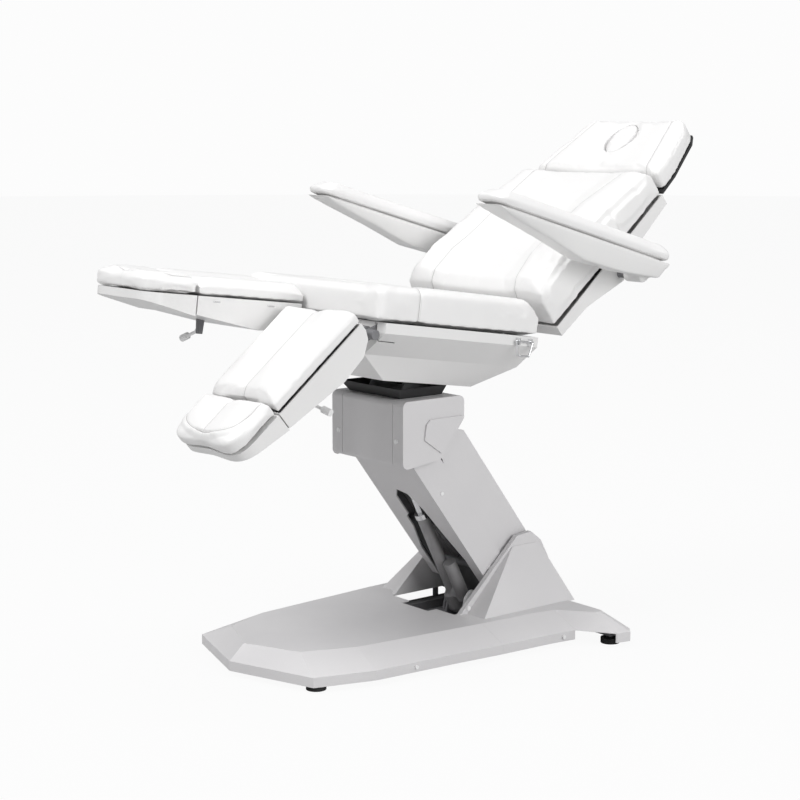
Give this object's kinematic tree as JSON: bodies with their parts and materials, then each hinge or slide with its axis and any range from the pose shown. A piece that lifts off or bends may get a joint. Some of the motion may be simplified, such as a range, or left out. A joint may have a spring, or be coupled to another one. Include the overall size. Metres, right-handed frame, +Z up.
{
  "type": "facial treatment bed",
  "caption": "Electric treatment chair on a lifting column, with reclining back, headrest, armrests and split leg rests that raise separately.",
  "frame": {"origin": "on the floor, under the middle of the bed's overall length and width", "axes": "+Z up; -Y towards the foot end, +Y towards the head end; +X on the right-hand leg rest's side as drawn, the lowered one"},
  "size_m": [0.888, 1.6812, 1.3731],
  "materials": {
    "shell_grey": "satin moulded plastic",
    "shell_white": "glossy white plastic",
    "upholstery": "soft white leatherette",
    "frame_steel": "powder coated steel",
    "actuator_grey": "grey painted tube",
    "chrome": "polished",
    "black_plastic": "black plastic",
    "rubber": "black rubber",
    "cap_white": "white plastic"
  },
  "bodies": {
    "base": {"base_frame": "frame_steel", "rubber_feet": "rubber", "base_front_cover": "shell_grey", "base_rear_cover": "shell_grey", "base_screw_caps": "cap_white", "control_box": "black_plastic", "cable_conduit": "cap_white"},
    "front_link": {"front_link": "frame_steel", "column_front_cover": "shell_grey", "column_screw_caps": "cap_white"},
    "rear_link": {"rear_link": "frame_steel", "column_rear_cover": "shell_grey"},
    "lift_motor": {"lift_motor": "actuator_grey", "lift_collar": "chrome"},
    "lift_rod": {"lift_rod": "chrome"},
    "head": {"head_bracket": "frame_steel", "head_front_cover": "shell_grey", "head_left_cap": "shell_grey", "head_right_cap": "shell_grey", "head_screw_caps": "cap_white"},
    "swivel": {"swivel_post": "frame_steel", "swivel_cover": "black_plastic"},
    "seat": {"seat_tub": "shell_white", "seat_frame": "frame_steel", "seat_cushion": "upholstery", "ring_lugs": "chrome", "rear_guard": "black_plastic"},
    "d_ring_left": {"d_ring_left": "chrome"},
    "d_ring_right": {"d_ring_right": "chrome"},
    "backrest": {"back_pan": "shell_white", "back_frame": "frame_steel", "back_cushion": "upholstery"},
    "headrest_posts": {"headrest_posts": "chrome"},
    "headrest": {"headrest_pan": "black_plastic", "headrest_cushion": "upholstery"},
    "headrest_plug": {"headrest_plug": "upholstery"},
    "armrest_left": {"arm_shell_left": "shell_white", "arm_pad_left": "upholstery"},
    "armrest_right": {"arm_shell_right": "shell_white", "arm_pad_right": "upholstery"},
    "leg_left": {"leg_pan_left": "shell_white", "leg_frame_left": "frame_steel", "leg_cushion_left": "upholstery", "lever_bracket_left": "frame_steel", "leg_hooks_left": "chrome"},
    "foot_left": {"foot_cushion_left": "upholstery", "foot_pan_left": "shell_white", "foot_glides_left": "chrome"},
    "leg_lever_left": {"leg_lever_left": "cap_white"},
    "leg_right": {"leg_pan_right": "shell_white", "leg_frame_right": "frame_steel", "leg_cushion_right": "upholstery", "lever_bracket_right": "frame_steel", "leg_hooks_right": "chrome"},
    "foot_right": {"foot_cushion_right": "upholstery", "foot_pan_right": "shell_white", "foot_glides_right": "chrome"},
    "leg_lever_right": {"leg_lever_right": "cap_white"}
  },
  "joints": [
    {"name": "column_lift", "type": "hinge", "parent": "base", "child": "front_link", "pos_m": [0, 0.16481, 0.128], "axis": [-1, 0, 0], "range_deg": [-40, 0]},
    {"name": "rear_link_swing", "type": "hinge", "parent": "base", "child": "rear_link", "pos_m": [0, 0.25681, 0.172], "axis": [-1, 0, 0], "range_deg": [-40, 0]},
    {"name": "lift_motor_swing", "type": "hinge", "parent": "base", "child": "lift_motor", "pos_m": [0, 0.12481, 0.05], "axis": [-1, 0, 0], "range_deg": [-37.1, 0]},
    {"name": "lift_rod_travel", "type": "slide", "parent": "lift_motor", "child": "lift_rod", "axis": [0, -0.4394, 0.8983], "range_m": [-0.0574, 0]},
    {"name": "head_level", "type": "hinge", "parent": "front_link", "child": "head", "pos_m": [0, -0.11202, 0.49537], "axis": [1, 0, 0], "range_deg": [-40, 0]},
    {"name": "seat_swivel", "type": "hinge", "parent": "head", "child": "swivel", "pos_m": [0, -0.09719, 0.7], "axis": [0, 0, 1], "range_deg": [-120, 120]},
    {"name": "seat_tilt", "type": "hinge", "parent": "swivel", "child": "seat", "pos_m": [0, -0.07719, 0.752], "axis": [-1, 0, 0], "range_deg": [-8, 5]},
    {"name": "d_ring_left_swing", "type": "hinge", "parent": "seat", "child": "d_ring_left", "pos_m": [-0.292, 0.0859, 0.81047], "axis": [0, 0.9898, -0.1426], "range_deg": [0, 80]},
    {"name": "d_ring_right_swing", "type": "hinge", "parent": "seat", "child": "d_ring_right", "pos_m": [0.292, 0.0859, 0.81047], "axis": [0, 0.9898, -0.1426], "range_deg": [-80, 0]},
    {"name": "backrest_recline", "type": "hinge", "parent": "seat", "child": "backrest", "pos_m": [0, 0.20181, 0.854], "axis": [1, 0, 0], "range_deg": [-46, 22]},
    {"name": "headrest_height", "type": "slide", "parent": "backrest", "child": "headrest_posts", "axis": [0, 0.7826, 0.6225], "range_m": [0, 0.09]},
    {"name": "headrest_tilt", "type": "hinge", "parent": "headrest_posts", "child": "headrest", "pos_m": [0, 0.6792, 1.17751], "axis": [1, 0, 0], "range_deg": [-30, 5]},
    {"name": "headrest_plug_lift", "type": "slide", "parent": "headrest", "child": "headrest_plug", "axis": [0, -0.6225, 0.7826], "range_m": [0, 0.075]},
    {"name": "armrest_left_lift", "type": "hinge", "parent": "backrest", "child": "armrest_left", "pos_m": [-0.315, 0.46284, 0.96197], "axis": [-1, 0, 0], "range_deg": [-8, 75]},
    {"name": "armrest_right_lift", "type": "hinge", "parent": "backrest", "child": "armrest_right", "pos_m": [0.315, 0.46284, 0.96197], "axis": [-1, 0, 0], "range_deg": [-8, 75]},
    {"name": "leg_left_raise", "type": "hinge", "parent": "seat", "child": "leg_left", "pos_m": [-0.14, -0.38219, 0.86], "axis": [-1, 0, 0], "range_deg": [-60, 0]},
    {"name": "foot_left_extend", "type": "slide", "parent": "leg_left", "child": "foot_left", "axis": [0, -0.9921, 0.1253], "range_m": [0, 0.12]},
    {"name": "leg_lever_left_pull", "type": "hinge", "parent": "leg_left", "child": "leg_lever_left", "pos_m": [-0.181, -0.58959, 0.84588], "axis": [1, 0, 0], "range_deg": [0, 20], "stiffness_Nm_per_rad": 1.5},
    {"name": "leg_right_raise", "type": "hinge", "parent": "seat", "child": "leg_right", "pos_m": [0.14, -0.38219, 0.86], "axis": [-1, 0, 0], "range_deg": [-15, 45]},
    {"name": "foot_right_extend", "type": "slide", "parent": "leg_right", "child": "foot_right", "axis": [0, -0.7771, -0.6293], "range_m": [0, 0.12]},
    {"name": "leg_lever_right_pull", "type": "hinge", "parent": "leg_right", "child": "leg_lever_right", "pos_m": [0.181, -0.51555, 0.70053], "axis": [1, 0, 0], "range_deg": [0, 20], "stiffness_Nm_per_rad": 1.5}
  ],
  "couplings": [
    {"joint": "rear_link_swing", "follows": "column_lift", "ratio": 1},
    {"joint": "head_level", "follows": "column_lift", "ratio": 1},
    {"joint": "lift_motor_swing", "follows": "column_lift", "ratio": 0.918},
    {"joint": "lift_rod_travel", "follows": "column_lift", "m_per_rad": 0.0815}
  ]
}
